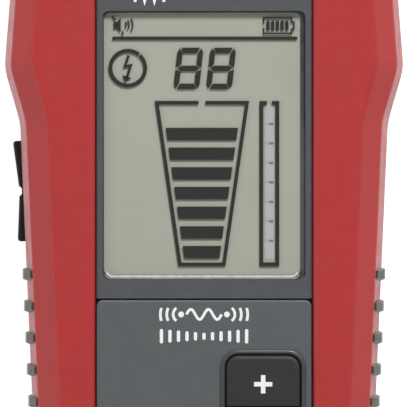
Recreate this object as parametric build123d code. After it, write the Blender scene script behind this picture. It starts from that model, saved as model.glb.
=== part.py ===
from build123d import *
import math
import os

# Hand-held receiver of a circuit breaker finder, in millimetres.
# X points to the right of the display, Y towards the sensing tip, Z out of the display.
# The flat back lies on Z = 0 and the origin is the middle of the whole outline.

os.makedirs("parts", exist_ok=True)

# Overall size
LENGTH = 183.0
WIDTH = 75.0
DEPTH = 43.0
TIP_END = LENGTH / 2
FOOT_END = -LENGTH / 2

# Outline of the body in plan: half width, station along the body, corner radius
HALF_FOOT = 29.75
FOOT_CORNER_Y = -89.5
FOOT_BULGE = 0.3
HALF_NECK = 34.66
NECK_Y = 22.0
HALF_SHOULDER = WIDTH / 2 + 0.1
SHOULDER_Y = 32.2
HALF_CROWN = 35.82
CROWN_Y = 55.5
HALF_TOP = 16.5
TOP_Y = 71.5
SIDE_SLOPE = (HALF_NECK - HALF_FOOT) / (NECK_Y - FOOT_CORNER_Y)

# Levels through the body
PARTING_Z = 30.0
CREASE_Z = 38.2
FRONT_Z = 42.0
WALL = 2.2
INNER_FRONT_Z = FRONT_Z - 2.4
CREASE_INSET = 1.15
FACE_INSET = 5.1
BACK_CREASE_Z = 12.0
BACK_INSET = 6.5

# Face: bezel, window and keypad
BEZEL_TOP_Z = 41.3
RIM_RADIUS = 1.15
OPENING_HALF = 20.4
OPENING_TOP = 54.0
OPENING_BOTTOM = -66.0
BEZEL_HALF = 20.3
BEZEL_BOTTOM = -11.1
WINDOW_HALF = 19.05
WINDOW_TOP = 42.9
WINDOW_BOTTOM = -7.5
VIEW_LEFT = -18.8
VIEW_RIGHT = 18.15
VIEW_TOP = 42.6
VIEW_BOTTOM = -6.7
GLASS_TOP_Z = 39.8
LEDGE_Z = 40.3
LENS_Z = 41.0
PLATE_TOP_Z = 41.5
PLATE_TOP = -11.4
PLATE_BOTTOM = -65.7
PLATE_HALF = 20.2
FLANGE_HALF = 22.4

# Keys
KEY_WIDTH = 13.85
KEY_HEIGHT = 9.6
KEY_CORNER = 2.3
KEY_PITCH = 9.9
KEY_X = 11.1
PLUS_Y = -26.6
MINUS_Y = PLUS_Y - KEY_PITCH
LOWER_KEY_Y = -54.6
KEY_GAP = 0.2
RING_WIDTH = 0.95
RING_TOP_Z = 42.1

# Main board
BOARD_BOTTOM_Z = 33.0
BOARD_TOP_Z = 34.6

# Batteries, two layers of two AA cells
CELL_DIAMETER = 14.5
CELL_LENGTH = 50.5
CELL_X = 7.4
CELL_LOW_Z = 9.65
CELL_HIGH_Z = 24.25
BAY_HALF = 15.0
BAY_BOTTOM = -77.5
BAY_TOP = -23.5
BAY_WALL = 1.6
BAY_CEILING_Z = 31.7

# Battery door
DOOR_HALF = 17.2
DOOR_BOTTOM = -83.6
DOOR_TOP = -17.4
DOOR_THICKNESS = 2.0
DOOR_GAP = 0.15
DOOR_SCREWS = (-20.4, -80.6)

# Fasteners
HOUSING_SCREWS = ((-26.0, 46.0), (26.0, 46.0), (-21.2, -70.5), (21.2, -70.5))
BOARD_SCREWS = ((-24.8, 22.0), (24.8, 22.0), (-24.8, -44.0), (24.8, -44.0))
BOSS_JOINT_Z = 20.0
SCREW_SEAT_Z = 13.0

# Volume rocker on the left side, in its own frame: u along the wall, v outwards
ROCKER_Y = 9.1
ROCKER_HALF = 9.5
ROCKER_LOW_Z = 18.0
ROCKER_HIGH_Z = 27.4
ROCKER_PIVOT_V = -1.6
SIDE_ANGLE = math.degrees(math.atan(SIDE_SLOPE))

# Side grips
RIB_COUNT = 12
RIB_PITCH = 6.0
RIB_FIRST_Y = -6.6
GRIP_TOP = -2.4
GRIP_BOTTOM = -77.0
GRIP_LOW_Z = 11.0
GRIP_HIGH_Z = 29.6
GRIP_SUNK = 0.06
GRIP_DEPTH = 0.7

# Sensing tip
NOSE_HALF_BASE = 15.2
NOSE_HALF_END = 12.4
NOSE_BASE_Y = 66.9
COIL_Z = 22.0


def polygon_face(corners):
    """Flat face from (x, y, corner radius) given in order round the outline."""
    face = make_face(Polyline(*[(x, y) for x, y, _ in corners], close=True)).faces()[0]
    for x, y, radius in corners:
        if radius:
            vertex = face.vertices().sort_by_distance(Vector(x, y, 0))[0]
            face = face.fillet_2d(radius, [vertex])
    return face


def mirrored_face(right_side):
    """Face symmetric about the Y axis, from the corners of its right side, top to bottom."""
    left_side = [(-x, y, radius) for x, y, radius in reversed(right_side) if x]
    return polygon_face(right_side + left_side)


BODY_FACE = mirrored_face([
    (HALF_TOP, TOP_Y, 8.0),
    (HALF_CROWN, CROWN_Y, 15.0),
    (HALF_SHOULDER, SHOULDER_Y, 9.0),
    (HALF_NECK, NECK_Y, 14.0),
    (HALF_FOOT, FOOT_CORNER_Y, 15.0),
    (0.0, FOOT_END - FOOT_BULGE, 100.0),
])

NOSE_FACE = mirrored_face([
    (NOSE_HALF_END, TIP_END, 6.5),
    (NOSE_HALF_BASE, NOSE_BASE_Y, 0.0),
])


def inset_face(base, inset, z):
    """The base outline moved inwards by inset, at height z."""
    face = offset(base, amount=-inset, kind=Kind.ARC).faces()[0] if inset else base
    return Pos(0, 0, z) * face


def stack(base, levels):
    """Solid with drafted walls through (inset, z) levels of one outline."""
    faces = [inset_face(base, inset, z) for inset, z in levels]
    solid = loft([faces[0], faces[1]], ruled=True)
    for low, high in zip(faces[1:], faces[2:]):
        solid += loft([low, high], ruled=True)
    return solid


def block(x0, x1, y0, y1, z0, z1):
    """Box between two corners."""
    return Pos((x0 + x1) / 2, (y0 + y1) / 2, (z0 + z1) / 2) * Box(x1 - x0, y1 - y0, z1 - z0)


def slab(x0, x1, y0, y1, z0, z1, radius):
    """Box with rounded upright edges."""
    sketch = Pos((x0 + x1) / 2, (y0 + y1) / 2) * RectangleRounded(x1 - x0, y1 - y0, radius)
    return Pos(0, 0, z0) * extrude(sketch, z1 - z0)


def rod(x, y, z0, z1, radius):
    """Upright cylinder."""
    return Pos(x, y, (z0 + z1) / 2) * Cylinder(radius, z1 - z0)


def rod_y(x, z, y0, y1, radius):
    """Cylinder lying along the body."""
    return Pos(x, (y0 + y1) / 2, z) * Rot(90, 0, 0) * Cylinder(radius, y1 - y0)


def edges_at(solid, z, tolerance=0.01):
    """Edges whose middle lies at height z."""
    return [edge for edge in solid.edges() if abs(edge.center().Z - z) < tolerance]


def level_edges(solid, z, tolerance=0.01):
    """Edges that lie wholly at height z."""
    chosen = []
    for edge in solid.edges():
        box = edge.bounding_box()
        if abs(box.min.Z - z) < tolerance and abs(box.max.Z - z) < tolerance:
            chosen.append(edge)
    return chosen


def wall_x(y):
    """Half width of the tapering part of the body at station y."""
    return HALF_NECK - (NECK_Y - y) * SIDE_SLOPE


# ---------------------------------------------------------------- side grips


def rib(y):
    """One upright finger of the left grip, wider at its foot and drafted all round."""
    def section(z, outward, depth, base_half, tip_half):
        outer = -(wall_x(y) + outward)
        inner = -(wall_x(y) - depth)
        points = [
            (inner, y - base_half),
            (outer, y - tip_half),
            (outer, y + tip_half),
            (inner, y + base_half),
        ]
        return Pos(0, 0, z) * make_face(Polyline(*points, close=True)).faces()[0]

    toe = section(12.0, -0.6, 0.9, 1.4, 0.8)
    foot = section(15.0, 0.95, 0.8, 1.6, 0.95)
    middle = section(PARTING_Z, 0.75, 0.5, 1.4, 0.85)
    shoulder = section(34.6, 0.45, 1.0, 1.3, 0.8)
    top = section(37.8, -0.7, 1.7, 1.1, 0.62)
    end = loft([toe, foot], ruled=True)
    lower = loft([foot, middle], ruled=True)
    upper = loft([middle, shoulder], ruled=True)
    tip = loft([shoulder, top], ruled=True)
    return end + lower + upper + tip


def left_grip_seat():
    """Shallow seat of the left grip in the side of the rear housing, open outwards."""
    core = stack(BODY_FACE, [(0.5 + GRIP_DEPTH, 8.0), (GRIP_DEPTH, PARTING_Z)])
    return block(-50, -20, GRIP_BOTTOM, GRIP_TOP, GRIP_LOW_Z, GRIP_HIGH_Z) - core


def left_grip():
    """Rubber strip let into the side of the rear housing, with fingers over both housings."""
    outer = stack(BODY_FACE, [(0.5 + GRIP_SUNK, 8.0), (GRIP_SUNK, PARTING_Z)])
    strip = outer & LEFT_SEAT
    fingers = Part() + [rib(RIB_FIRST_Y - RIB_PITCH * i) for i in range(RIB_COUNT)]
    return strip + fingers


LEFT_SEAT = left_grip_seat()
LEFT_GRIP = left_grip()
RIGHT_GRIP = mirror(LEFT_GRIP, Plane.YZ)

# ---------------------------------------------------------------- volume rocker

ROCKER_PLACE = Pos(-wall_x(ROCKER_Y), ROCKER_Y, 0) * Rot(0, 0, SIDE_ANGLE)


def rocker_block(u0, u1, v0, v1, z0, z1):
    """Box in the rocker's frame, where v points outwards, to the left."""
    return ROCKER_PLACE * block(-v1, -v0, u0, u1, z0, z1)


def rocker_point(u, v):
    """A point of the rocker's frame, in plan, as (x, y)."""
    place = ROCKER_PLACE * Pos(-v, u, 0)
    return place.position.X, place.position.Y


def volume_rocker():
    """Dished thumb rocker with a half-round notch at its middle and two switch feet."""
    half = ROCKER_HALF
    outline = make_face(Polyline(
        (2.5, -half), (-1.5, -half), (-0.78, -0.6), (-0.78, 0.6), (-1.6, half), (2.5, half),
        close=True,
    )).faces()[0]
    for corner in ((-1.5, -half), (-1.6, half)):
        vertex = outline.vertices().sort_by_distance(Vector(corner[0], corner[1], 0))[0]
        outline = outline.fillet_2d(0.6, [vertex])
    cap = Pos(0, 0, ROCKER_LOW_Z + 0.2) * extrude(outline, ROCKER_HIGH_Z - ROCKER_LOW_Z - 0.4)
    notch = Pos(-1.25, 0, 22) * Cylinder(1.05, 20)
    cap -= notch
    flat_edges = level_edges(cap, ROCKER_HIGH_Z - 0.2) + level_edges(cap, ROCKER_LOW_Z + 0.2)
    outer_edges = [edge for edge in flat_edges if edge.center().X < -0.7 and edge.length > 4]
    cap = fillet(outer_edges, 0.5)
    feet = [block(2.3, 3.3, u - 0.5, u + 0.5, 21.0, 24.4) for u in (-6.5, 6.5)]
    hub = rod(-ROCKER_PIVOT_V, 0, ROCKER_LOW_Z + 0.2, ROCKER_HIGH_Z - 0.2, 1.9)
    body = cap + hub + feet
    body -= rod(-ROCKER_PIVOT_V, 0, 10, 40, 0.83)
    return ROCKER_PLACE * body


def rocker_pin():
    """Steel pin through the rocker and the two lugs of the rear housing."""
    x, y = rocker_point(0, ROCKER_PIVOT_V)
    return rod(x, y, ROCKER_LOW_Z - 1.7, ROCKER_HIGH_Z + 1.6, 0.8)


def rocker_lugs():
    """Lugs inside the wall, above and below the rocker, that hold its pin."""
    low = rocker_block(-3, 3, -4.2, -1.2, ROCKER_LOW_Z - 1.9, ROCKER_LOW_Z - 0.2)
    high = rocker_block(-3, 3, -4.2, -1.2, ROCKER_HIGH_Z + 0.2, ROCKER_HIGH_Z + 1.8)
    return low + high


def side_board():
    """Small upright board that carries the two switches of the rocker."""
    return rocker_block(-10, 10, -7.6, -6.4, 17.0, 32.9)


def rocker_switches():
    """Two side-push switches with round plungers that face the rocker's feet."""
    switches = []
    for u in (-6.5, 6.5):
        body = rocker_block(u - 2.2, u + 2.2, -6.4, -4.6, 20.6, 24.8)
        x, y = rocker_point(u, -4.2)
        plunger = Pos(x, y, 22.7) * Rot(0, 0, SIDE_ANGLE) * Rot(0, 90, 0) * Cylinder(1.0, 0.9)
        switches.append(body + plunger)
    return Compound(children=switches)


# ---------------------------------------------------------------- housings


def front_housing():
    """Red front shell, drafted sides, wide chamfer and a flat face with one long opening."""
    outer = stack(BODY_FACE, [(0.15, PARTING_Z), (0.0, PARTING_Z + 0.2),
                              (CREASE_INSET, CREASE_Z), (FACE_INSET, FRONT_Z)])
    outer = fillet(level_edges(outer, FRONT_Z), 1.6)
    outer = fillet(level_edges(outer, CREASE_Z), 1.0)
    inner = stack(BODY_FACE, [(WALL, PARTING_Z - 1), (WALL + 1.0, CREASE_Z - 0.8),
                              (FACE_INSET + 2.4, INNER_FRONT_Z)])
    shell = outer - inner
    opening = slab(-OPENING_HALF, OPENING_HALF, OPENING_BOTTOM, OPENING_TOP, 30, 50, 3.0)
    shell -= opening
    rim = [edge for edge in level_edges(shell, FRONT_Z)
           if abs(edge.center().X) < OPENING_HALF + 0.1
           and OPENING_BOTTOM - 0.1 < edge.center().Y < OPENING_TOP + 0.1]
    shell = fillet(rim, RIM_RADIUS)
    for x, y in HOUSING_SCREWS:
        shell += rod(x, y, BOSS_JOINT_Z, INNER_FRONT_Z + 0.1, 3.2)
        shell -= rod(x, y, BOSS_JOINT_Z - 1, BOSS_JOINT_Z + 5.2, 2.0)
        shell -= rod(x, y, BOSS_JOINT_Z, BOSS_JOINT_Z + 9, 1.4)
    for x, y in BOARD_SCREWS:
        shell += rod(x, y, BOARD_TOP_Z, INNER_FRONT_Z + 0.1, 2.2)
        shell -= rod(x, y, BOARD_TOP_Z - 1, BOARD_TOP_Z + 4, 0.95)
    shell -= nose_passage()
    shell -= LEFT_GRIP
    shell -= RIGHT_GRIP
    return shell


def nose_passage():
    """Space that the sensing tip and its flange take in the top of both housings."""
    through = stack(inset_face(NOSE_FACE, -0.1, 0), [(3.0, 9.9), (0.0, 14.4), (0.0, 31.0), (3.1, 36.1)])
    flange = slab(-17.2, 17.2, 64.0, 69.35, 10.8, 37.9, 1.0)
    return through + flange


def gasket_ring(grow=0.0):
    """Ring along the parting line of the housings."""
    ring = stack(BODY_FACE, [(0.75 - grow, PARTING_Z - 0.9 - grow), (0.75 - grow, PARTING_Z)])
    ring -= stack(BODY_FACE, [(1.55 + grow, PARTING_Z - 3), (1.55 + grow, PARTING_Z + 1)])
    return ring - block(-20, 20, 62, 80, 0, 50)


def battery_bay():
    """Walls, ceiling and door ledge of the battery bay."""
    outer = block(-BAY_HALF - BAY_WALL, BAY_HALF + BAY_WALL, BAY_BOTTOM - BAY_WALL, BAY_TOP + BAY_WALL,
                  1.0, BAY_CEILING_Z + 1.0)
    ledge = slab(-DOOR_HALF - 1.8, DOOR_HALF + 1.8, DOOR_BOTTOM - 1.6, DOOR_TOP + 1.8, 0.6, 4.2, 3.5)
    bay = outer + ledge
    for y in DOOR_SCREWS:
        bay += rod(0, y, 2.0, 10.0, 3.2)
    return bay


def bay_space():
    """Everything that is open inside the battery bay, down to the back face."""
    space = block(-BAY_HALF, BAY_HALF, BAY_BOTTOM, BAY_TOP, -1, BAY_CEILING_Z)
    for side in (-1, 1):
        for y0 in (BAY_BOTTOM - 2, BAY_TOP - 0.6):
            slot = block(side * CELL_X - 2, side * CELL_X + 2, y0, y0 + 2.6, 29.5, 40)
            space += slot
    space += slab(-DOOR_HALF - DOOR_GAP, DOOR_HALF + DOOR_GAP, DOOR_BOTTOM - DOOR_GAP, DOOR_TOP + DOOR_GAP,
                  -1, DOOR_THICKNESS + 0.1, 3.0 + DOOR_GAP)
    gasket = slab(-DOOR_HALF + 0.7, DOOR_HALF - 0.7, BAY_BOTTOM - 1.4, BAY_TOP + 1.4, 0, 2.9, 1.2)
    space += gasket
    for y in DOOR_SCREWS:
        space += rod(0, y, 1, 9.2, 2.0)
    return space


def speaker_holes():
    """Round sound holes through the back."""
    holes = rod(0, 38, -1, 4, 1.0)
    for ring, count in ((3.8, 6), (7.6, 12)):
        for i in range(count):
            angle = 2 * math.pi * i / count
            holes += rod(ring * math.cos(angle), 38 + ring * math.sin(angle), -1, 4, 1.0)
    return holes


def rear_housing():
    """Dark rear shell with rounded back, battery bay, screw posts and speaker seat."""
    outer = stack(BODY_FACE, [(BACK_INSET, 0.0), (0.5, BACK_CREASE_Z),
                              (0.0, PARTING_Z - 0.2), (0.15, PARTING_Z)])
    outer = fillet(level_edges(outer, BACK_CREASE_Z), 14.0)
    outer = fillet(level_edges(outer, 0.0), 3.0)
    inner = stack(BODY_FACE, [(BACK_INSET + 1.6, WALL), (0.5 + WALL, BACK_CREASE_Z + 0.4),
                              (WALL, PARTING_Z + 1)])
    shell = outer - inner
    shell += battery_bay() & outer
    for x, y in HOUSING_SCREWS:
        shell += rod(x, y, 1.5, BOSS_JOINT_Z - 0.05, 3.9) & (outer + block(-40, 40, -90, 70, 4, 25))
    shell += rod(0, 38, 1.5, 5.2, 16.0) - rod(0, 38, 1.0, 6, 14.3)
    for y in (58.0, 62.5):
        saddle = block(-9, 9, y - 0.8, y + 0.8, 1.5, COIL_Z) - rod_y(0, COIL_Z, y - 2, y + 2, 4.1)
        shell += saddle
    shell += rocker_lugs()
    shell -= rocker_block(-ROCKER_HALF - 0.3, ROCKER_HALF + 0.3, -3.0, 5, ROCKER_LOW_Z, ROCKER_HIGH_Z)
    x, y = rocker_point(0, ROCKER_PIVOT_V)
    shell -= rod(x, y, ROCKER_LOW_Z - 1.7, ROCKER_HIGH_Z + 1.6, 0.8)
    for x, y in HOUSING_SCREWS:
        shell -= rod(x, y, -1, SCREW_SEAT_Z, 3.1)
        shell -= rod(x, y, 0, 30, 1.65)
    shell -= bay_space()
    shell -= speaker_holes()
    shell -= nose_passage()
    shell -= gasket_ring()
    shell -= LEFT_SEAT
    shell -= mirror(LEFT_SEAT, Plane.YZ)
    shell -= LEFT_GRIP
    shell -= RIGHT_GRIP
    return shell


# ---------------------------------------------------------------- face


def face_bezel():
    """Dark bezel round the display, with a lens seat and a flange behind the front housing."""
    top = slab(-BEZEL_HALF, BEZEL_HALF, BEZEL_BOTTOM - 10, OPENING_TOP - 0.1, 39.2, BEZEL_TOP_Z, 2.9)
    top = fillet(level_edges(top, BEZEL_TOP_Z), 0.5)
    top -= block(-30, 30, BEZEL_BOTTOM - 20, BEZEL_BOTTOM, 30, 50)
    flange = slab(-FLANGE_HALF, FLANGE_HALF, BEZEL_BOTTOM, OPENING_TOP + 1.7, 37.9, 39.5, 2.0)
    bezel = top + flange
    bezel -= slab(-WINDOW_HALF, WINDOW_HALF, WINDOW_BOTTOM, WINDOW_TOP, LEDGE_Z, 45, 1.15)
    bezel -= slab(VIEW_LEFT, VIEW_RIGHT, VIEW_BOTTOM, VIEW_TOP, 35, 45, 1.1)
    bezel -= block(-19.7, 19.7, -9.4, 45.6, 30, 39.9)
    return bezel


def display_window():
    """Clear lens bonded on the bezel's seat."""
    lens = slab(-WINDOW_HALF + 0.05, WINDOW_HALF - 0.05, WINDOW_BOTTOM + 0.05, WINDOW_TOP - 0.05,
                LEDGE_Z, LENS_Z, 1.1)
    return fillet(level_edges(lens, LENS_Z), 0.2)


def lcd_glass():
    """Display glass sandwich, the upper plate shorter than the lower one."""
    lower = block(-19.4, 19.4, -8.6, 45.2, 37.6, 38.7)
    upper = block(-19.4, 19.4, -8.6, 43.4, 38.7, GLASS_TOP_Z)
    return lower + upper


def lcd_frame():
    """Pale tray under the glass, open for the backlight and the connector."""
    tray = slab(-21.6, 21.6, -9.2, 47.6, 34.7, 37.5, 1.5)
    tray -= block(-18.5, 18.5, -6.0, 41.0, 36.2, 40)
    tray -= block(-17.6, 17.6, 42.3, 44.5, 30, 40)
    return tray


def backlight_diffuser():
    """Light guide lying in the tray, with its edge lamp housing."""
    guide = block(-18.4, 18.4, -5.9, 40.9, 36.25, 37.5)
    return chamfer(guide.edges().filter_by(Axis.Z), 1.0)


def lcd_connector():
    """Two elastomer strips from the glass to the board."""
    strips = [block(-17.4, 17.4, y, y + 0.9, BOARD_TOP_Z, 37.6) for y in (42.4, 43.5)]
    return Compound(children=strips)


KEYS = {
    "plus_button": (KEY_X, PLUS_Y),
    "minus_button": (KEY_X, MINUS_Y),
    "mode_button": (-KEY_X, LOWER_KEY_Y),
    "power_button": (KEY_X, LOWER_KEY_Y),
}

KEY_WELLS = (
    (KEY_X, PLUS_Y + KEY_HEIGHT / 2, MINUS_Y - KEY_HEIGHT / 2),
    (-KEY_X, LOWER_KEY_Y + KEY_HEIGHT / 2, LOWER_KEY_Y - KEY_HEIGHT / 2),
    (KEY_X, LOWER_KEY_Y + KEY_HEIGHT / 2, LOWER_KEY_Y - KEY_HEIGHT / 2),
)


def well(x, top, bottom, grow, z0, z1):
    """Rounded block over one key well, larger than the keys by grow all round."""
    half = KEY_WIDTH / 2 + grow
    return slab(x - half, x + half, bottom - grow, top + grow, z0, z1, KEY_CORNER + grow)


def keypad_plate():
    """Raised plate below the display with three key wells."""
    plate = slab(-PLATE_HALF, PLATE_HALF, PLATE_BOTTOM, PLATE_TOP, 39.2, PLATE_TOP_Z, 1.2)
    plate &= slab(-PLATE_HALF, PLATE_HALF, PLATE_BOTTOM, OPENING_TOP, 39.2, PLATE_TOP_Z, 2.9)
    plate = fillet(level_edges(plate, PLATE_TOP_Z), 0.35)
    flange = slab(-FLANGE_HALF, FLANGE_HALF, PLATE_BOTTOM - 1.2, PLATE_TOP, 38.3, 39.5, 2.0)
    plate += flange
    plate -= block(-19.2, 19.2, PLATE_BOTTOM + 1.2, PLATE_TOP - 3, 30, 40.1)
    for x, top, bottom in KEY_WELLS:
        plate -= well(x, top, bottom, KEY_GAP + RING_WIDTH, 35, 45)
    return plate


def key_surrounds():
    """Soft rounded ring round each key well, with a thin foot behind the plate."""
    rings = []
    for x, top, bottom in KEY_WELLS:
        ring = well(x, top, bottom, KEY_GAP + RING_WIDTH, 39.2, RING_TOP_Z)
        ring = fillet(level_edges(ring, RING_TOP_Z), 0.5)
        hole = well(x, top, bottom, KEY_GAP, 35, 45)
        ring -= hole
        rim = level_edges(ring, RING_TOP_Z)
        inner_rim = [edge for edge in rim if edge.length < 22 and on_loop(edge, x, top, bottom)]
        ring = fillet(inner_rim, 0.3)
        ring -= well(x, top, bottom, KEY_GAP + 0.75, 35, 40.2)
        rings.append(ring)
    return Compound(children=rings)


def on_loop(edge, x, top, bottom):
    """True for an edge on the inner loop of a key well."""
    centre = edge.center()
    half = KEY_WIDTH / 2 + KEY_GAP + 0.02
    inside_x = abs(centre.X - x) < half
    inside_y = bottom - KEY_GAP - 0.02 < centre.Y < top + KEY_GAP + 0.02
    return inside_x and inside_y


def key_button(x, y, shared_side):
    """One key: cap with a retaining flange. The side next to its twin key is cut straight."""
    half_x = KEY_WIDTH / 2
    half_y = KEY_HEIGHT / 2
    low_y = y - half_y
    high_y = y + half_y
    overrun = 2 * KEY_CORNER
    long_low = low_y - overrun if shared_side < 0 else low_y
    long_high = high_y + overrun if shared_side > 0 else high_y
    cap = slab(x - half_x, x + half_x, long_low, long_high, 39.4, DEPTH, KEY_CORNER)
    cap = fillet(level_edges(cap, DEPTH), 0.75)
    cap = cap & block(x - half_x, x + half_x, low_y, high_y, 39.0, DEPTH + 1)
    if shared_side:
        split_y = y + shared_side * half_y
        split_edges = [edge for edge in cap.edges()
                       if abs(edge.center().Y - split_y) < 0.01 and edge.center().Z > 39.5]
        cap = fillet(split_edges, 0.25)
    flange = slab(x - half_x - 0.55, x + half_x + 0.55, low_y, high_y, 39.2, 40.0, KEY_CORNER)
    return cap + flange


def keypad_membrane():
    """Silicone sheet with a pad over and a pip under each key, on a skirt."""
    sheet = slab(-18.6, 18.6, PLATE_BOTTOM + 2, -16.5, 36.9, 37.7, 2.0)
    skirt = slab(-18.6, 18.6, PLATE_BOTTOM + 2, -16.5, BOARD_TOP_Z, 37.0, 2.0)
    skirt -= slab(-17.4, 17.4, PLATE_BOTTOM + 3.2, -17.7, 30, 38, 1.5)
    sheet += skirt
    for x, y in KEYS.values():
        sheet += rod(x, y, 37.6, 38.3, 3.0)
        sheet += rod(x, y, 35.35, 37.0, 1.5)
    return sheet


def dome_switches():
    """Snap domes on the board under the keys."""
    domes = []
    for x, y in KEYS.values():
        dome = Pos(x, y, BOARD_TOP_Z) * Cone(3.2, 1.6, 0.55, align=(Align.CENTER, Align.CENTER, Align.MIN))
        domes.append(dome)
    return Compound(children=domes)


# ---------------------------------------------------------------- electronics


def main_board():
    """Main circuit board, notched round the screw posts."""
    board = stack(BODY_FACE, [(4.4, BOARD_BOTTOM_Z), (4.4, BOARD_TOP_Z)])
    board &= block(-60, 60, -84, 60, 0, 50)
    board -= block(-40, -25.6, -4, 21, 0, 50)
    for x, y in HOUSING_SCREWS:
        board -= rod(x, y, 0, 50, 3.6)
    for x, y in BOARD_SCREWS:
        board -= rod(x, y, 0, 50, 1.15)
    return board


def circuit_chips():
    """Packages and capacitors on the underside of the main board."""
    places = [
        (0.0, 8.0, 12.0, 12.0, 1.5),
        (-14.0, 10.0, 5.0, 6.2, 1.5),
        (14.0, 12.0, 5.0, 6.2, 1.5),
        (-12.0, -6.0, 7.0, 5.0, 1.8),
        (12.0, -6.0, 6.4, 6.4, 2.6),
        (-16.0, 26.0, 3.2, 6.0, 1.2),
        (16.0, 26.0, 3.2, 6.0, 1.2),
        (0.0, 28.0, 6.0, 5.0, 1.5),
        (-12.0, 52.0, 3.2, 5.0, 1.2),
        (12.0, 52.0, 3.2, 5.0, 1.2),
    ]
    chips = []
    for x, y, length, width, height in places:
        chip = block(x - length / 2, x + length / 2, y - width / 2, y + width / 2,
                     BOARD_BOTTOM_Z - height, BOARD_BOTTOM_Z)
        chips.append(chamfer(edges_at(chip, BOARD_BOTTOM_Z - height), 0.2))
    for x in (-20.0, 20.0):
        chips.append(rod(x, -9.0, BOARD_BOTTOM_Z - 6.5, BOARD_BOTTOM_Z, 2.5))
    return Compound(children=chips)


def screw(x, y, z, head_radius, head_height, shank_radius, shank_length):
    """Pan-head screw pointing up from the back, its head below z, with a cross recess."""
    head = rod(x, y, z - head_height, z, head_radius)
    head = fillet(level_edges(head, z - head_height), head_height * 0.4)
    slot = head_radius * 0.55
    head -= block(x - slot, x + slot, y - 0.35, y + 0.35, z - head_height - 1, z - head_height * 0.45)
    head -= block(x - 0.35, x + 0.35, y - slot, y + slot, z - head_height - 1, z - head_height * 0.45)
    return head + rod(x, y, z, z + shank_length, shank_radius)


def board_screws():
    """Small screws that hold the board to the front housing."""
    return Compound(children=[screw(x, y, BOARD_BOTTOM_Z, 1.9, 1.3, 0.9, 5.2) for x, y in BOARD_SCREWS])


def housing_screws():
    """Four screws that close the housings, deep in their holes."""
    return Compound(children=[screw(x, y, SCREW_SEAT_Z, 2.75, 2.2, 1.25, 11.6) for x, y in HOUSING_SCREWS])


def brass_inserts():
    """Threaded inserts for the housing screws and the door screws."""
    inserts = []
    for x, y in HOUSING_SCREWS:
        inserts.append(rod(x, y, BOSS_JOINT_Z + 0.1, BOSS_JOINT_Z + 5.2, 2.0) - rod(x, y, 0, 40, 1.3))
    for y in DOOR_SCREWS:
        inserts.append(rod(0, y, 4.2, 9.2, 2.0) - rod(0, y, 0, 40, 1.3))
    return Compound(children=inserts)


def speaker():
    """Round loudspeaker with its cone, magnet and two tags, facing the back."""
    basket = rod(0, 38, 3.0, 5.6, 14.1)
    basket -= rod(0, 38, 2.0, 3.5, 12.4)
    basket -= Pos(0, 38, 3.5) * Cone(11.4, 3.6, 1.7, align=(Align.CENTER, Align.CENTER, Align.MIN))
    basket += Pos(0, 38, 5.3) * Cone(1.8, 3.5, 0.9, align=(Align.CENTER, Align.CENTER, Align.MAX))
    magnet = rod(0, 38, 5.6, 9.0, 7.5)
    tags = block(-3.4, -1.6, 45.4, 50.4, 5.6, 6.4) + block(1.6, 3.4, 45.4, 50.4, 5.6, 6.4)
    return fillet(level_edges(basket + magnet, 9.0), 0.6) + tags


def speaker_gasket():
    """Foam ring between the speaker and the back."""
    return rod(0, 38, WALL, 3.0, 14.0) - rod(0, 38, 0, 5, 11.4)


def speaker_leads():
    """Two straight wires from the speaker's tags up to the board."""
    return Compound(children=[rod(x, 49.6, 6.4, BOARD_BOTTOM_Z, 0.5) for x in (-2.5, 2.5)])


def tip_housing():
    """Hollow sensing tip with a retaining flange and a wire groove across its end."""
    outer = stack(NOSE_FACE, [(3.0, 10.0), (0.0, 14.5), (0.0, 30.9), (3.0, 35.9)])
    outer = fillet(level_edges(outer, 35.9), 1.2)
    outer = fillet(level_edges(outer, 10.0), 1.2)
    inner_face = mirrored_face([
        (NOSE_HALF_END - 2, TIP_END - 2.4, 4.5),
        (NOSE_HALF_BASE - 2, NOSE_BASE_Y - 2, 0.0),
    ])
    flange = slab(-16.8, 16.8, NOSE_BASE_Y, 69.25, 11.2, 37.5, 1.0)
    tip = outer + flange
    tip -= stack(inner_face, [(2.4, 12.1), (0.0, 15.4), (0.0, 30.0), (2.4, 33.8)])
    groove = Pos(0, TIP_END + 0.6, 22) * Cylinder(1.9, 60)
    tip -= groove
    for y in (76.0, 79.0, 82.0):
        for side in (-1, 1):
            line = block(side * 16 - 3.25, side * 16 + 3.25, y, y + 1.0, 15, 29)
            tip -= line
    return tip


def ferrite_rod():
    """Ferrite core of the sensing coil."""
    return chamfer(rod_y(0, COIL_Z, 56.5, 86.0, 4.0).edges(), 0.3)


def coil_bobbin():
    """Moulded bobbin on the ferrite rod."""
    bobbin = rod_y(0, COIL_Z, 70.0, 84.5, 4.9)
    bobbin += rod_y(0, COIL_Z, 70.0, 71.2, 8.6) + rod_y(0, COIL_Z, 83.3, 84.5, 8.6)
    bobbin += block(-4.0, 4.0, 67.6, 70.0, COIL_Z + 5.2, COIL_Z + 7.2)
    return bobbin - rod_y(0, COIL_Z, 60, 90, 4.0)


def sense_coil():
    """Winding on the bobbin."""
    winding = rod_y(0, COIL_Z, 71.3, 83.2, 7.6) - rod_y(0, COIL_Z, 60, 90, 4.9)
    for i in range(7):
        ring = rod_y(0, COIL_Z, 72.2 + i * 1.6, 72.5 + i * 1.6, 8.6)
        winding -= ring - rod_y(0, COIL_Z, 60, 90, 7.4)
    return winding


def coil_leads():
    """Two wires from the bobbin's tag to the board."""
    wires = []
    for x in (-2.0, 2.0):
        path = FilletPolyline((x, 67.6, COIL_Z + 6.2), (x, 56.0, COIL_Z + 6.2), (x, 56.0, BOARD_BOTTOM_Z),
                              radius=2.0)
        section = Plane(origin=path @ 0, z_dir=path % 0) * Circle(0.4)
        wires.append(sweep(section, path))
    return Compound(children=wires)


# ---------------------------------------------------------------- batteries


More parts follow.
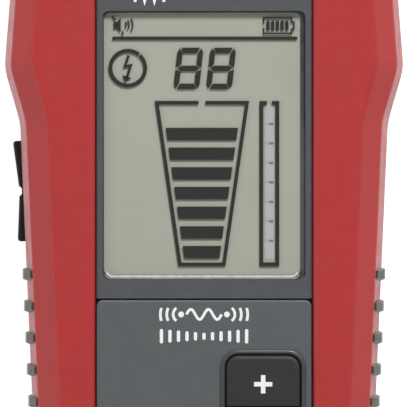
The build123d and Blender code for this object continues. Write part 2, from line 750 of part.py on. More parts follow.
def battery_cell(x, z, direction):
    """AA cell with its positive nub towards direction along Y."""
    nub = 1.3
    start = BAY_TOP - 0.5 if direction > 0 else BAY_BOTTOM + 0.5
    body_end = start - direction * nub
    body_start = start - direction * CELL_LENGTH
    low, high = sorted((body_start, body_end))
    radius = CELL_DIAMETER / 2
    cell = rod_y(x, z, low, high, radius)
    cell = fillet(cell.edges().filter_by(GeomType.CIRCLE), 0.6)
    low, high = sorted((body_end, start))
    return cell + rod_y(x, z, low, high, 2.7)


CELLS = {
    "battery_cell_1": (-CELL_X, CELL_LOW_Z, 1),
    "battery_cell_2": (CELL_X, CELL_LOW_Z, -1),
    "battery_cell_3": (-CELL_X, CELL_HIGH_Z, -1),
    "battery_cell_4": (CELL_X, CELL_HIGH_Z, 1),
}


def battery_springs():
    """Conical springs at the negative ends of the cells."""
    height = BAY_TOP - BAY_BOTTOM - CELL_LENGTH - 1.0 - 0.5
    path = Helix(pitch=height / 3, height=height, radius=4.2)
    section = Plane(origin=path @ 0, z_dir=path % 0) * Circle(0.24)
    coil = sweep(section, path)
    springs = []
    for x, z, direction in CELLS.values():
        if direction > 0:
            place = Pos(x, BAY_BOTTOM + 0.75, z) * Rot(-90, 0, 0)
        else:
            place = Pos(x, BAY_TOP - 0.75, z) * Rot(90, 0, 0)
        springs.append(place * coil)
    return Compound(children=springs)


def battery_contacts():
    """Sprung metal plates at both ends of the bay, with tags up to the board."""
    plates = []
    for x, z, _ in CELLS.values():
        for y0 in (BAY_BOTTOM + 0.05, BAY_TOP - 0.45):
            plate = block(x - 5.5, x + 5.5, y0, y0 + 0.4, z - 5.5, z + 5.5)
            if z > 20:
                plate += block(x - 1.5, x + 1.5, y0, y0 + 0.4, z, BOARD_BOTTOM_Z)
            plates.append(plate)
    return Compound(children=plates)


def battery_door():
    """Flat door let into the back, with a locating rib and two screw seats."""
    door = slab(-DOOR_HALF, DOOR_HALF, DOOR_BOTTOM, DOOR_TOP, 0, DOOR_THICKNESS, 3.0)
    door = fillet(level_edges(door, 0.0), 0.4)
    rib_outer = block(-BAY_HALF + 0.3, BAY_HALF - 0.3, BAY_BOTTOM + 0.4, BAY_TOP - 0.4, 1.5, 3.0)
    rib_outer -= block(-BAY_HALF + 1.5, BAY_HALF - 1.5, BAY_BOTTOM + 1.6, BAY_TOP - 1.6, 1.0, 4.0)
    for x in (-CELL_X, CELL_X):
        rib_outer -= rod_y(x, CELL_LOW_Z, -100, 0, CELL_DIAMETER / 2 + 0.15)
    door += rib_outer
    for y in DOOR_SCREWS:
        door += rod(0, y, 1.0, 4.0, 2.9) - block(-5, 5, y - 5, y + 5, DOOR_THICKNESS, 5)
        door -= rod(0, y, -1, 1.3, 2.35)
        door -= rod(0, y, -1, 5, 1.45)
    for i in range(5):
        groove = block(-7, 7, -31.0 - 2.4 * i, -30.0 - 2.4 * i, -1, 0.5)
        door -= groove
    return door


def door_gasket():
    """Soft seal between the door and the bay."""
    ring = slab(-DOOR_HALF + 0.8, DOOR_HALF - 0.8, BAY_BOTTOM - 1.3, BAY_TOP + 1.3,
                DOOR_THICKNESS + 0.05, 2.9, 1.1)
    return ring - block(-BAY_HALF, BAY_HALF, BAY_BOTTOM, BAY_TOP, 0, 5)


def door_screw(y):
    """Captive screw of the battery door."""
    return screw(0, y, 1.3, 2.2, 1.2, 1.2, 6.4)


# ---------------------------------------------------------------- write the nodes

NODES = {
    "front_housing": front_housing(),
    "rear_housing": rear_housing(),
    "housing_gasket": gasket_ring(),
    "left_side_grip": LEFT_GRIP,
    "right_side_grip": RIGHT_GRIP,
    "housing_screws": housing_screws(),
    "brass_inserts": brass_inserts(),
    "face_bezel": face_bezel(),
    "display_window": display_window(),
    "lcd_glass": lcd_glass(),
    "lcd_frame": lcd_frame(),
    "backlight_diffuser": backlight_diffuser(),
    "lcd_connector": lcd_connector(),
    "keypad_plate": keypad_plate(),
    "key_surrounds": key_surrounds(),
    "keypad_membrane": keypad_membrane(),
    "dome_switches": dome_switches(),
    "volume_rocker": volume_rocker(),
    "rocker_pin": rocker_pin(),
    "side_board": side_board(),
    "rocker_switches": rocker_switches(),
    "main_board": main_board(),
    "circuit_chips": circuit_chips(),
    "board_screws": board_screws(),
    "speaker": speaker(),
    "speaker_gasket": speaker_gasket(),
    "speaker_leads": speaker_leads(),
    "tip_housing": tip_housing(),
    "ferrite_rod": ferrite_rod(),
    "coil_bobbin": coil_bobbin(),
    "sense_coil": sense_coil(),
    "coil_leads": coil_leads(),
    "battery_springs": battery_springs(),
    "battery_contacts": battery_contacts(),
    "battery_door": battery_door(),
    "door_gasket": door_gasket(),
    "door_screw_upper": door_screw(DOOR_SCREWS[0]),
    "door_screw_lower": door_screw(DOOR_SCREWS[1]),
}

SHARED_SIDES = {"plus_button": -1, "minus_button": 1}

for key_name, (key_x, key_y) in KEYS.items():
    NODES[key_name] = key_button(key_x, key_y, SHARED_SIDES.get(key_name, 0))

for cell_name, (cell_x, cell_z, cell_direction) in CELLS.items():
    NODES[cell_name] = battery_cell(cell_x, cell_z, cell_direction)

for node_name, shape in NODES.items():
    export_step(shape, f"parts/{node_name}.step")
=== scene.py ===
import math

import bpy
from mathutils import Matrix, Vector


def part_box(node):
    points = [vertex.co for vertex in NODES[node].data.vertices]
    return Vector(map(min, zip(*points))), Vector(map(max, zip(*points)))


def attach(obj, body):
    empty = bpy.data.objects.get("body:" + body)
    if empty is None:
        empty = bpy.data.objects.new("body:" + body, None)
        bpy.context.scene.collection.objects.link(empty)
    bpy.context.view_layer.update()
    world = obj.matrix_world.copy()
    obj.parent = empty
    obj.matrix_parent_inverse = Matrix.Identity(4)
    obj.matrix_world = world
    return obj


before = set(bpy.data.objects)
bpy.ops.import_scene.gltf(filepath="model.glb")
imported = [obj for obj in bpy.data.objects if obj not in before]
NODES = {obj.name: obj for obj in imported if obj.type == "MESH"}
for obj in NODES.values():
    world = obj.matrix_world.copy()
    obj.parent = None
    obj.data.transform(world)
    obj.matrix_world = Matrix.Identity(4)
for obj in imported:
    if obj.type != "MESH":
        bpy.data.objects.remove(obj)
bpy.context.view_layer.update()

MM = 0.001
HOUSING = "housing"


def srgb(r, g, b):
    """Linear colour from the usual 0 to 255 screen values."""
    def linear(value):
        value /= 255.0
        return value / 12.92 if value <= 0.04045 else ((value + 0.055) / 1.055) ** 2.4
    return linear(r), linear(g), linear(b), 1.0


# ---------------------------------------------------------------- materials


class Look:
    """One node material: a Principled shader with helpers for colour, grain and bump."""

    def __init__(self, name, colour, roughness, metallic=0.0, specular=0.5, coat=0.0, coat_roughness=0.1):
        self.material = bpy.data.materials.new(name)
        self.material.use_nodes = True
        self.tree = self.material.node_tree
        self.shader = self.tree.nodes["Principled BSDF"]
        self.shader.inputs["Base Color"].default_value = colour
        self.shader.inputs["Roughness"].default_value = roughness
        self.shader.inputs["Metallic"].default_value = metallic
        self.shader.inputs["Specular IOR Level"].default_value = specular
        self.shader.inputs["Coat Weight"].default_value = coat
        self.shader.inputs["Coat Roughness"].default_value = coat_roughness
        self.colour = colour
        self.roughness = roughness
        self.place = self.node("ShaderNodeTexCoord").outputs["Object"]
        self.normal = None

    def node(self, kind):
        """Adds a shader node."""
        return self.tree.nodes.new(kind)

    def link(self, a, b):
        """Joins an output to an input."""
        self.tree.links.new(a, b)

    def noise(self, size_mm, detail=3.0, stretch=None):
        """Noise with features of about size_mm, optionally stretched along the axes."""
        texture = self.node("ShaderNodeTexNoise")
        texture.inputs["Scale"].default_value = 1.0 / (size_mm * MM)
        texture.inputs["Detail"].default_value = detail
        source = self.place
        if stretch:
            mapping = self.node("ShaderNodeMapping")
            mapping.inputs["Scale"].default_value = stretch
            self.link(source, mapping.inputs["Vector"])
            source = mapping.outputs["Vector"]
        self.link(source, texture.inputs["Vector"])
        return texture.outputs["Fac"]

    def spread(self, factor, low, high):
        """The noise factor, spread from its usual middle range to low..high."""
        ramp = self.node("ShaderNodeMapRange")
        ramp.inputs["From Min"].default_value = 0.32
        ramp.inputs["From Max"].default_value = 0.68
        ramp.inputs["To Min"].default_value = low
        ramp.inputs["To Max"].default_value = high
        self.link(factor, ramp.inputs["Value"])
        return ramp.outputs["Result"]

    def mottle(self, size_mm, other, amount=1.0):
        """Blends the base colour towards another one in soft patches."""
        mix = self.node("ShaderNodeMix")
        mix.data_type = "RGBA"
        base = self.shader.inputs["Base Color"]
        if base.is_linked:
            self.link(base.links[0].from_socket, mix.inputs["A"])
        else:
            mix.inputs["A"].default_value = self.colour
        mix.inputs["B"].default_value = other
        self.link(self.spread(self.noise(size_mm), 0.0, amount), mix.inputs["Factor"])
        self.link(mix.outputs["Result"], base)
        return self

    def uneven(self, size_mm, change):
        """Roughness that varies softly over the surface."""
        level = self.spread(self.noise(size_mm), self.roughness - change, self.roughness + change)
        self.link(level, self.shader.inputs["Roughness"])
        return self

    def bump(self, size_mm, height_mm, strength=0.6, detail=3.0, stretch=None):
        """Fine relief; several layers may be stacked."""
        node = self.node("ShaderNodeBump")
        node.inputs["Strength"].default_value = strength
        node.inputs["Distance"].default_value = height_mm * MM
        self.link(self.noise(size_mm, detail, stretch), node.inputs["Height"])
        if self.normal:
            self.link(self.normal, node.inputs["Normal"])
        self.normal = node.outputs["Normal"]
        self.link(self.normal, self.shader.inputs["Normal"])
        return self


def red_plastic():
    look = Look("red_plastic", srgb(158, 40, 40), 0.42, specular=0.4)
    look.mottle(9.0, srgb(150, 44, 42), 0.6).mottle(0.5, srgb(166, 48, 47), 0.25)
    return look.uneven(3.0, 0.05).bump(0.35, 0.012, 0.5).bump(0.12, 0.006, 0.4)


def dark_plastic():
    look = Look("dark_plastic", srgb(60, 61, 63), 0.5, specular=0.4)
    look.mottle(6.0, srgb(54, 55, 58), 0.7).mottle(0.3, srgb(76, 77, 79), 0.3)
    return look.uneven(2.0, 0.06).bump(0.3, 0.02, 0.6).bump(0.1, 0.008, 0.5)


def bezel_plastic():
    look = Look("bezel_plastic", srgb(65, 68, 70), 0.5, specular=0.4)
    look.mottle(5.0, srgb(61, 63, 67), 0.7).mottle(0.28, srgb(84, 86, 88), 0.35)
    return look.uneven(1.5, 0.07).bump(0.26, 0.024, 0.7).bump(0.1, 0.01, 0.5)


def plate_plastic():
    look = Look("plate_plastic", srgb(76, 80, 81), 0.48, specular=0.4)
    look.mottle(6.0, srgb(72, 76, 79), 0.7).mottle(0.3, srgb(90, 94, 95), 0.25)
    return look.uneven(1.5, 0.06).bump(0.28, 0.016, 0.6).bump(0.1, 0.008, 0.5)


def key_rubber():
    look = Look("key_rubber", srgb(38, 37, 40), 0.52, specular=0.3)
    look.mottle(2.5, srgb(42, 41, 43), 0.6)
    return look.uneven(1.0, 0.05).bump(0.12, 0.004, 0.5)


def surround_rubber():
    look = Look("surround_rubber", srgb(60, 62, 64), 0.36, specular=0.45)
    look.mottle(2.0, srgb(55, 57, 59), 0.6)
    return look.bump(0.15, 0.004, 0.4)


def grip_rubber():
    look = Look("grip_rubber", srgb(52, 45, 40), 0.45, specular=0.4)
    look.mottle(1.5, srgb(63, 55, 49), 0.6)
    return look.uneven(0.8, 0.08).bump(0.25, 0.02, 0.7)


def seal_rubber():
    return Look("seal_rubber", srgb(38, 38, 40), 0.7).mottle(1.0, srgb(50, 50, 52), 0.5).bump(0.2, 0.01)


def display_face():
    look = Look("display_face", srgb(157, 157, 145), 0.35, specular=0.3)
    look.mottle(12.0, srgb(153, 153, 141), 0.7).mottle(0.12, srgb(162, 162, 151), 0.2)
    return look.bump(0.08, 0.002, 0.3)


def display_ink():
    return Look("display_ink", srgb(30, 30, 26), 0.5, specular=0.2).mottle(0.7, srgb(38, 38, 33), 0.6)


def ghost_ink():
    return Look("ghost_ink", srgb(168, 166, 167), 0.5, specular=0.3).mottle(0.7, srgb(161, 160, 161), 0.6)


def tick_ink():
    return Look("tick_ink", srgb(108, 107, 101), 0.5, specular=0.3).mottle(0.7, srgb(118, 117, 111), 0.6)


# Painted highlight: a pale colour for the light caught in the lens's lower bevel.
def painted_glint():
    look = Look("painted_glint", srgb(214, 214, 205), 0.25)
    return look.mottle(1.4, srgb(176, 176, 169), 0.8).bump(0.4, 0.006)


# Painted reflection: a grey band that lies under the painted highlight in the lens's lower bevel.
def painted_glint_band():
    look = Look("painted_glint_band", srgb(150, 150, 148), 0.3)
    return look.mottle(1.8, srgb(124, 124, 120), 0.8).bump(0.4, 0.006)


def white_paint():
    look = Look("white_paint", srgb(218, 219, 220), 0.45)
    return look.mottle(0.6, srgb(210, 211, 212), 0.5).bump(0.12, 0.003)


def pale_plastic():
    look = Look("pale_plastic", srgb(226, 226, 218), 0.3)
    return look.mottle(1.2, srgb(205, 205, 198), 0.6).bump(0.3, 0.004)


def elastomer():
    return Look("elastomer", srgb(150, 150, 152), 0.6).mottle(1.0, srgb(135, 135, 138), 0.6).bump(0.2, 0.01)


def circuit_board():
    look = Look("circuit_board", srgb(22, 82, 44), 0.3, coat=0.3)
    look.mottle(0.9, srgb(40, 112, 62), 0.6)
    return look.bump(0.6, 0.03, 0.5, detail=1.0)


def chip_plastic():
    return Look("chip_plastic", srgb(34, 34, 36), 0.5).mottle(0.5, srgb(48, 48, 50), 0.5).bump(0.1, 0.006)


def steel():
    look = Look("steel", srgb(176, 178, 180), 0.3, metallic=1.0)
    look.mottle(0.8, srgb(140, 142, 146), 0.6)
    return look.uneven(0.6, 0.1).bump(0.1, 0.003, 0.4)


def spring_metal():
    look = Look("spring_metal", srgb(206, 204, 196), 0.22, metallic=1.0)
    return look.mottle(0.8, srgb(176, 172, 160), 0.5).bump(0.2, 0.003, 0.4)


def brass():
    look = Look("brass", srgb(202, 166, 96), 0.3, metallic=1.0)
    return look.mottle(0.6, srgb(172, 134, 70), 0.6).bump(0.15, 0.004, 0.5, stretch=(1, 1, 8))


def ferrite():
    return Look("ferrite", srgb(52, 52, 56), 0.55).mottle(0.4, srgb(70, 70, 74), 0.6).bump(0.15, 0.01)


def copper_wire():
    look = Look("copper_wire", srgb(172, 92, 48), 0.3, metallic=0.8, coat=0.5)
    return look.mottle(0.5, srgb(138, 68, 34), 0.6).bump(0.25, 0.03, 0.8, stretch=(0.05, 6, 0.05))


def red_wire():
    return Look("red_wire", srgb(170, 30, 28), 0.4).mottle(1.0, srgb(150, 26, 26), 0.5).bump(0.3, 0.004)


def foam():
    return Look("foam", srgb(44, 44, 46), 0.9).mottle(0.4, srgb(62, 62, 64), 0.6).bump(0.3, 0.06, 0.9)


def speaker_metal():
    look = Look("speaker_metal", srgb(70, 72, 76), 0.4, metallic=0.6)
    return look.mottle(1.0, srgb(92, 94, 98), 0.5).bump(0.2, 0.006, 0.4)


def cell_sleeve():
    """Printed sleeve with bare metal at both ends, banded along the cell."""
    look = Look("cell_sleeve", srgb(34, 58, 70), 0.28, metallic=0.2, coat=0.4)
    split = look.node("ShaderNodeSeparateXYZ")
    look.link(look.place, split.inputs["Vector"])
    ramp = look.node("ShaderNodeValToRGB")
    low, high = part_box("battery_cell_1")[0].y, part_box("battery_cell_1")[1].y
    scale = look.node("ShaderNodeMapRange")
    scale.inputs["From Min"].default_value = low
    scale.inputs["From Max"].default_value = high
    look.link(split.outputs["Y"], scale.inputs["Value"])
    look.link(scale.outputs["Result"], ramp.inputs["Fac"])
    bands = ((0.0, (168, 170, 172)), (0.03, (34, 58, 70)), (0.45, (34, 58, 70)), (0.47, (206, 150, 60)),
             (0.52, (206, 150, 60)), (0.54, (34, 58, 70)), (0.95, (168, 170, 172)))
    ramp.color_ramp.interpolation = "CONSTANT"
    for i, (position, tone) in enumerate(bands):
        if i < 2:
            element = ramp.color_ramp.elements[i]
            element.position = position
        else:
            element = ramp.color_ramp.elements.new(position)
        element.color = srgb(*tone)
    look.link(ramp.outputs["Color"], look.shader.inputs["Base Color"])
    return look.uneven(2.0, 0.06).bump(1.0, 0.004, 0.4)


def clear_lens():
    """Clear window: mostly see-through, with a faint gloss from a thin polished sheet."""
    material = bpy.data.materials.new("clear_lens")
    material.use_nodes = True
    nodes, links = material.node_tree.nodes, material.node_tree.links
    nodes.clear()
    out = nodes.new("ShaderNodeOutputMaterial")
    through = nodes.new("ShaderNodeBsdfTransparent")
    through.inputs["Color"].default_value = (1.0, 1.0, 1.0, 1.0)
    gloss = nodes.new("ShaderNodeBsdfPrincipled")
    gloss.inputs["Base Color"].default_value = srgb(250, 250, 250)
    gloss.inputs["Metallic"].default_value = 1.0
    gloss.inputs["Roughness"].default_value = 0.06
    facing = nodes.new("ShaderNodeLayerWeight")
    facing.inputs["Blend"].default_value = 0.5
    steep = nodes.new("ShaderNodeMath")
    steep.operation = "POWER"
    steep.inputs[1].default_value = 4.0
    level = nodes.new("ShaderNodeMapRange")
    level.inputs["To Min"].default_value = 0.02
    level.inputs["To Max"].default_value = 0.7
    smear = nodes.new("ShaderNodeTexNoise")
    smear.inputs["Scale"].default_value = 90.0
    place = nodes.new("ShaderNodeTexCoord")
    bump = nodes.new("ShaderNodeBump")
    bump.inputs["Strength"].default_value = 0.05
    bump.inputs["Distance"].default_value = 0.00002
    mix = nodes.new("ShaderNodeMixShader")
    links.new(place.outputs["Object"], smear.inputs["Vector"])
    links.new(smear.outputs["Fac"], bump.inputs["Height"])
    links.new(bump.outputs["Normal"], gloss.inputs["Normal"])
    links.new(facing.outputs["Facing"], steep.inputs[0])
    links.new(steep.outputs["Value"], level.inputs["Value"])
    links.new(level.outputs["Result"], mix.inputs["Fac"])
    links.new(through.outputs["BSDF"], mix.inputs[1])
    links.new(gloss.outputs["BSDF"], mix.inputs[2])
    links.new(mix.outputs["Shader"], out.inputs["Surface"])
    return material


def floor_paint():
    """Matt white floor that glows a little, so that no hard shadow is left on it."""
    look = Look("floor_paint", srgb(176, 176, 176), 0.8, specular=0.1)
    look.shader.inputs["Emission Color"].default_value = (1.0, 1.0, 1.0, 1.0)
    look.shader.inputs["Emission Strength"].default_value = 0.85
    return look.mottle(60.0, srgb(172, 172, 172), 0.5)


LOOKS = {
    "red_plastic": red_plastic, "dark_plastic": dark_plastic, "bezel_plastic": bezel_plastic,
    "plate_plastic": plate_plastic, "key_rubber": key_rubber, "surround_rubber": surround_rubber,
    "grip_rubber": grip_rubber, "seal_rubber": seal_rubber, "display_face": display_face,
    "display_ink": display_ink, "ghost_ink": ghost_ink, "tick_ink": tick_ink, "white_paint": white_paint,
    "painted_glint": painted_glint, "painted_glint_band": painted_glint_band,
    "pale_plastic": pale_plastic, "elastomer": elastomer, "circuit_board": circuit_board,
    "chip_plastic": chip_plastic, "steel": steel, "spring_metal": spring_metal, "brass": brass,
    "ferrite": ferrite, "copper_wire": copper_wire, "red_wire": red_wire, "foam": foam,
    "speaker_metal": speaker_metal, "cell_sleeve": cell_sleeve, "floor_paint": floor_paint,
}
MATERIALS = {name: make().material for name, make in LOOKS.items()}
MATERIALS["clear_lens"] = clear_lens()

NODE_LOOKS = {
    "red_plastic": ("front_housing",),
    "dark_plastic": ("rear_housing", "tip_housing", "battery_door"),
    "bezel_plastic": ("face_bezel",),
    "plate_plastic": ("keypad_plate",),
    "key_rubber": ("plus_button", "minus_button", "mode_button", "power_button", "volume_rocker"),
    "surround_rubber": ("key_surrounds",),
    "grip_rubber": ("left_side_grip", "right_side_grip"),
    "seal_rubber": ("housing_gasket", "door_gasket"),
    "display_face": ("lcd_glass",),
    "clear_lens": ("display_window",),
    "pale_plastic": ("lcd_frame", "backlight_diffuser", "coil_bobbin"),
    "elastomer": ("lcd_connector", "keypad_membrane"),
    "circuit_board": ("main_board", "side_board"),
    "chip_plastic": ("circuit_chips", "rocker_switches"),
    "steel": ("housing_screws", "board_screws", "rocker_pin", "door_screw_upper", "door_screw_lower"),
    "spring_metal": ("dome_switches", "battery_springs", "battery_contacts"),
    "brass": ("brass_inserts",),
    "ferrite": ("ferrite_rod",),
    "copper_wire": ("sense_coil",),
    "red_wire": ("speaker_leads", "coil_leads"),
    "foam": ("speaker_gasket",),
    "speaker_metal": ("speaker",),
    "cell_sleeve": ("battery_cell_1", "battery_cell_2", "battery_cell_3", "battery_cell_4"),
}


def paint_nodes():
    """Gives every CAD node its material."""
    for look, names in NODE_LOOKS.items():
        for name in names:
            for slot in NODES[name].material_slots:
                slot.material = MATERIALS[look]


# ---------------------------------------------------------------- flat shapes


def stroke(points, width):
    """Outline of an open line of even width through points, with mitred turns, as one polygon."""
    points = [Vector(point) for point in points]
    ways = [(b - a).normalized() for a, b in zip(points, points[1:])]
    left, right = [], []
    for i, point in enumerate(points):
        before = ways[max(i - 1, 0)]
        after = ways[min(i, len(ways) - 1)]
        along = (before + after).normalized()
        across = Vector((-along.y, along.x))
        side = Vector((-before.y, before.x))
        reach = width / 2 / max(across.dot(side), 0.35)
        left.append(point + across * reach)
        right.append(point - across * reach)
    return [left + right[::-1]]


def arc(centre, radius, start, end, steps=24):
    """Points of an arc, angles in degrees."""
    points = []
    for i in range(steps + 1):
        angle = math.radians(start + (end - start) * i / steps)
        points.append((centre[0] + radius * math.cos(angle), centre[1] + radius * math.sin(angle)))
    return points


def disc(centre, radius, steps=24):
    """A filled circle as one polygon."""
    return arc(centre, radius, 0, 360 - 360 / steps, steps - 1)


def round_line(a, b, width):
    """A straight line with round ends as one polygon."""
    angle = math.degrees(math.atan2(b[1] - a[1], b[0] - a[0]))
    return arc(b, width / 2, angle - 90, angle + 90, 10) + arc(a, width / 2, angle + 90, angle + 270, 10)


def rectangle(x0, x1, y0, y1):
    """Corners of an upright rectangle."""
    return [(x0, y0), (x1, y0), (x1, y1), (x0, y1)]


def prism_piece(name, polygons, low, high, look, body):
    """One mesh piece of flat polygons in millimetres, given a thickness from low to high."""
    vertices, faces = [], []
    for polygon in polygons:
        area = sum(a[0] * b[1] - b[0] * a[1] for a, b in zip(polygon, list(polygon[1:]) + [polygon[0]]))
        ordered = list(polygon) if area > 0 else list(reversed(polygon))
        base, count = len(vertices), len(ordered)
        vertices += [(x * MM, y * MM, low * MM) for x, y in ordered]
        vertices += [(x * MM, y * MM, high * MM) for x, y in ordered]
        faces.append([base + i for i in reversed(range(count))])
        faces.append([base + count + i for i in range(count)])
        for i in range(count):
            j = (i + 1) % count
            faces.append([base + i, base + j, base + count + j, base + count + i])
    mesh = bpy.data.meshes.new(name)
    mesh.from_pydata(vertices, [], faces)
    mesh.update()
    piece = bpy.data.objects.new(name, mesh)
    bpy.context.scene.collection.objects.link(piece)
    piece.data.materials.append(MATERIALS[look])
    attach(piece, body)
    return piece


def moved(polygon, dx, dy):
    """The polygon shifted in its plane."""
    return [(x + dx, y + dy) for x, y in polygon]


# ---------------------------------------------------------------- display graphics

GLASS_LOW, GLASS_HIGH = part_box("lcd_glass")
HIDDEN_MARGIN = 1.9
DISPLAY_X = GLASS_LOW.x / MM
DISPLAY_Y = GLASS_LOW.y / MM + HIDDEN_MARGIN
INK_LIFT = 0.38
INK_THICKNESS = 0.03
INK_Z = GLASS_HIGH.z / MM + INK_LIFT

SEGMENT_WIDTH = 1.02
DIGIT_WIDTH = 4.87
DIGIT_HEIGHT = 7.77
DIGIT_SLANT = math.tan(math.radians(6.2))
DIGIT_GAP = 0.16


def ink(name, polygons, look="display_ink", z=INK_Z):
    """Display segments, given in millimetres from the lower left corner of the visible glass."""
    placed = [moved(polygon, DISPLAY_X, DISPLAY_Y) for polygon in polygons]
    return prism_piece(name, placed, z, z + INK_THICKNESS, look, HOUSING)


def digit_segments(x, y):
    """The seven segments of one slanted digit whose lower left corner is (x, y)."""
    w, h, t, g = DIGIT_WIDTH, DIGIT_HEIGHT, SEGMENT_WIDTH, DIGIT_GAP
    mid, cut = h / 2, 0.42
    upright = [(0, mid + g), (0, h - 0.9), (cut, h - g * 0.6), (t, h - t - g), (t, mid + t * 0.62 + g)]
    top = [(cut + g * 1.4, h), (w - cut - g * 1.4, h), (w - t - g, h - t), (t + g, h - t)]
    middle = [(g * 2, mid), (t + g, mid + t / 2), (w - t - g, mid + t / 2), (w - g * 2, mid),
              (w - t - g, mid - t / 2), (t + g, mid - t / 2)]

    def flip_x(points):
        return [(w - px, py) for px, py in points]

    def flip_y(points):
        return [(px, h - py) for px, py in points]

    shapes = [upright, flip_x(upright), flip_y(upright), flip_x(flip_y(upright)), top, flip_y(top), middle]
    return [[(x + px + py * DIGIT_SLANT, y + py) for px, py in shape] for shape in shapes]


def mute_icon():
    """Loudspeaker with sound waves and a broken slash."""
    shapes = [[(2.4, 46.25), (3.0, 46.25), (3.74, 45.55), (3.74, 48.3), (3.05, 47.6), (2.4, 47.6)],
              [(1.95, 48.55), (2.2, 48.8), (2.95, 47.95), (2.7, 47.72)],
              [(3.85, 45.35), (4.1, 46.05), (4.35, 45.2), (4.15, 45.08)]]
    for radius, reach in ((0.95, 38), (1.5, 36), (2.2, 34)):
        shapes += stroke(arc((3.8, 46.96), radius, -reach, reach, 10), 0.27)
    return ink("lcd_mute_icon", shapes)


def battery_icon():
    """Battery outline with five bars."""
    left, right, low, high, line = 30.6, 35.85, 45.4, 48.35, 0.3
    outline = stroke([(left, 47.2), (left, high), (right, high), (right, 47.55), (36.3, 47.55),
                      (36.3, 46.2), (right, 46.2), (right, low), (left, low), (left, 46.5)], line)
    bars = [rectangle(31.12 + 0.884 * i, 31.12 + 0.884 * i + 0.62, 45.98, 47.78) for i in range(5)]
    return ink("lcd_battery_icon", outline + bars)


def voltage_mark():
    """Circle with a small break and a lightning arrow inside."""
    centre = (5.08, 38.87)
    ring = stroke(arc(centre, 3.27, 50.5, 407, 64), 0.72)
    bolt = stroke([(5.22, 41.25), (4.52, 39.18), (5.62, 39.36), (4.85, 36.95)], 0.52)
    head = [[(4.0, 37.55), (5.82, 37.0), (4.55, 36.3)]]
    return ink("lcd_voltage_mark", ring + bolt + head)


def cone_half(v):
    """Half width of the tapering signal gauge's centre line at height v."""
    return 4.13 + (v - 2.0) * (8.48 - 4.13) / (32.4 - 2.0)


def signal_gauge():
    """Tapering frame with a gap at its top, and seven bars."""
    centre, line = 19.0, 0.68
    top, bottom = 32.37, 2.0
    wide, narrow, gap = cone_half(top), cone_half(bottom), 0.64
    corners = [(-gap, top), (-wide, top), (-narrow, bottom), (narrow, bottom), (wide, top), (gap, top)]
    ink("lcd_gauge_frame", stroke([(centre + x, y) for x, y in corners], line))
    bars = []
    for i in range(7):
        high = 27.66 - 3.70 * i
        low = high - 2.33
        top_half, low_half = cone_half(high) - 1.0, cone_half(low) - 1.0
        bars.append([(centre - low_half, low), (centre + low_half, low),
                     (centre + top_half, high), (centre - top_half, high)])
    ink("lcd_gauge_bars", bars)


def side_gauge():
    """Narrow upright frame with pale, unlit segments in it."""
    left, right, low, high, line = 30.17, 33.17, 2.0, 32.33, 0.72
    corners = [(31.22, high), (left, high), (left, low), (right, low), (right, high), (32.14, high)]
    outline = stroke(corners, line)
    ink("lcd_side_frame", outline)
    surface = GLASS_HIGH.z / MM
    ghosts = [rectangle(30.85, 32.5, 3.0 + 3.66 * i, 3.0 + 3.66 * i + 3.3) for i in range(8)]
    ink("lcd_side_segments", ghosts, "ghost_ink", surface + 0.005)
    ticks = [rectangle(31.65, 32.4, 2.55 + 3.66 * i, 2.55 + 3.66 * i + 0.4) for i in range(1, 8)]
    ink("lcd_side_ticks", ticks, "tick_ink", surface + 0.05)


def painted_lens_glint(name, inset, width, look):
    """Painted highlight for the light caught in the lower bevel of the lens: a line along it with its ends
    turned up.
    """
    low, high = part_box("display_window")
    left, right, bottom = low.x / MM + 0.25 + inset, high.x / MM - 0.95 - inset, low.y / MM + inset
    radius = 1.0
    path = arc((left + radius, bottom + radius), radius, 195, 270, 8)
    path += arc((right - radius, bottom + radius), radius, 270, 345, 8)
    z = low.z / MM + 0.15
    prism_piece(name, stroke(path, width), z, z + 0.05, look, HOUSING)


def display_graphics():
    """Everything shown on the display, with the painted highlight along the lens."""
    mute_icon()
    battery_icon()
    ink("lcd_rule", [round_line((2.42, 44.5), (36.65, 44.5), 0.6)])
    voltage_mark()
    ink("lcd_digits", digit_segments(13.62, 34.94) + digit_segments(13.62 + 6.13, 34.94))
    signal_gauge()
    side_gauge()
    # Painted highlight: a pale line, with a painted grey reflection band below it, where the lens's lower
    # bevel catches light.
    painted_lens_glint("lens_painted_glint", 0.5, 0.36, "painted_glint")
    painted_lens_glint("lens_painted_glint_band", 0.16, 0.3, "painted_glint_band")


# ---------------------------------------------------------------- printed marks

MARK_SINK = 0.25
MARK_PROUD = 0.008


def white_mark(name, node, body, polygons):
    """White inlay let into the top of a node."""
    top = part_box(node)[1].z / MM
    low, high = top - MARK_SINK, top + MARK_PROUD
    return prism_piece(name, polygons, low, high, "white_paint", body)


def key_mark(name, node, polygons):
    """White symbol on one key, in millimetres from the key's centre."""
    low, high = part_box(node)
    centre = (low + high) / 2 / MM
    return white_mark(name, node, node, [moved(polygon, centre.x, centre.y) for polygon in polygons])


def key_marks():
    """Plus, minus, power and mode symbols."""
    arm, line = 1.72, 0.84
    raise_y = -0.6
    half = line / 2
    quarter = [(arm, -half), (arm, half), (half, half)]
    cross = []
    for turn in range(4):
        c, s = math.cos(turn * math.pi / 2), math.sin(turn * math.pi / 2)
        cross += [(x * c - y * s, x * s + y * c + raise_y) for x, y in quarter]
    key_mark("plus_mark", "plus_button", [cross])
    key_mark("minus_mark", "minus_button", [rectangle(-arm, arm, -half + raise_y, half + raise_y)])
    ring = stroke(arc((0, 0), 1.55, 125, 415, 40), 0.5)
    key_mark("power_mark", "power_button", ring + [rectangle(-0.25, 0.25, 0.35, 2.15)])
    wave = [(-2.3 + 4.6 * i / 32, 0.95 * math.sin(2 * math.pi * i / 32)) for i in range(33)]
    key_mark("mode_mark", "mode_button", stroke(wave, 0.5))


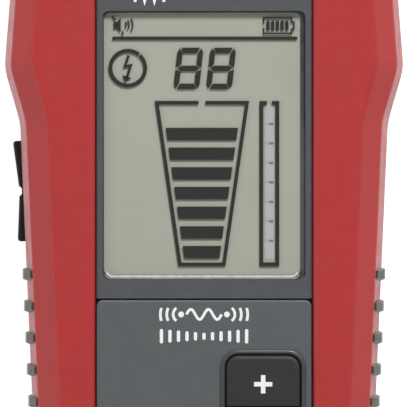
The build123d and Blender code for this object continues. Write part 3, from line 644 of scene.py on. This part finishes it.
def plate_mark():
    """Generic pictogram under the display: waves leaving two sources, over a row of level bars."""
    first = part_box("keypad_plate")[1].y / MM - 2.7
    second = first - 4.1
    half_height = 1.2
    line = 0.5
    row = []
    for side in (-1, 1):
        middle = 0 if side > 0 else 180
        for radius in (1.5, 2.7, 3.9):
            reach = math.degrees(math.asin(half_height / radius))
            row += stroke(arc((side * 4.3, first), radius, middle - reach, middle + reach, 12), line)
        row.append(disc((side * 4.3, first), 0.55))
    wave = [(-3.3 + 6.6 * i / 40, first + 0.95 * math.sin(4 * math.pi * i / 40)) for i in range(41)]
    row += stroke(wave, line)
    for i in range(-5, 6):
        reach = 0.35 + 0.14 * abs(i)
        row.append(round_line((1.6 * i, second - reach), (1.6 * i, second + reach), 0.62))
    white_mark("signal_pictogram", "keypad_plate", HOUSING, row)


def bezel_mark():
    """Generic pulse line above the display."""
    left, bottom = -13.0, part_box("display_window")[1].y / MM + 1.75
    step, rise = 0.92, 3.4
    peaks = [(left + step * i, bottom + (rise if i % 2 else 0.0)) for i in range(7)]
    white_mark("pulse_pictogram", "face_bezel", HOUSING, stroke(peaks, 0.55))


# ---------------------------------------------------------------- stage


def area_light(name, place, aim, size, power):
    """White rectangular lamp turned towards a point."""
    data = bpy.data.lights.new(name, "AREA")
    data.shape = "RECTANGLE"
    data.size, data.size_y = size
    data.energy = power
    lamp = bpy.data.objects.new(name, data)
    bpy.context.scene.collection.objects.link(lamp)
    lamp.location = place
    lamp.rotation_euler = (Vector(aim) - Vector(place)).to_track_quat("-Z", "Y").to_euler()
    return lamp


def lights():
    """Soft surround, brighter towards the horizon, and a key light from beyond the tip."""
    world = bpy.data.worlds.new("studio")
    world.use_nodes = True
    nodes, links = world.node_tree.nodes, world.node_tree.links
    place = nodes.new("ShaderNodeTexCoord")
    split = nodes.new("ShaderNodeSeparateXYZ")
    ramp = nodes.new("ShaderNodeValToRGB")
    ramp.color_ramp.elements[0].color = (0.85, 0.85, 0.85, 1.0)
    ramp.color_ramp.elements[1].color = (0.3, 0.3, 0.3, 1.0)
    links.new(place.outputs["Generated"], split.inputs["Vector"])
    links.new(split.outputs["Z"], ramp.inputs["Fac"])
    links.new(ramp.outputs["Color"], nodes["Background"].inputs["Color"])
    nodes["Background"].inputs["Strength"].default_value = 1.0
    bpy.context.scene.world = world
    target = (0, 0, 0.03)
    area_light("key_light", (0.26, 0.87, 0.9), target, (0.3, 0.3), 16.5)
    area_light("fill_light", (-0.9, -0.2, 0.8), target, (0.7, 0.7), 2.0)


def floor():
    """Wide plane, a hair below the object so that the two never share a surface."""
    mesh = bpy.data.meshes.new("floor")
    half, z = 1.5, -0.2 * MM
    corners = [(x, y, z) for x, y in rectangle(-half, half, -half, half)]
    mesh.from_pydata(corners, [], [[0, 1, 2, 3]])
    plane = bpy.data.objects.new("floor", mesh)
    bpy.context.scene.collection.objects.link(plane)
    plane.data.materials.append(MATERIALS["floor_paint"])


FRAME_WIDTH = 0.07658
CAMERA_DISTANCE = 3.0
FACE_HEIGHT = 0.036


def camera():
    """Long lens straight above the middle of the pictured stretch."""
    data = bpy.data.cameras.new("camera")
    data.sensor_width = 36.0
    data.lens = data.sensor_width * CAMERA_DISTANCE / FRAME_WIDTH
    data.clip_end = 20.0
    eye = bpy.data.objects.new("camera", data)
    bpy.context.scene.collection.objects.link(eye)
    eye.location = (-0.0001, 0.00673, FACE_HEIGHT + CAMERA_DISTANCE)
    bpy.context.scene.camera = eye
    bpy.context.scene.view_settings.view_transform = "Standard"


camera()
floor()
lights()
paint_nodes()
display_graphics()
key_marks()
plate_mark()
bezel_mark()
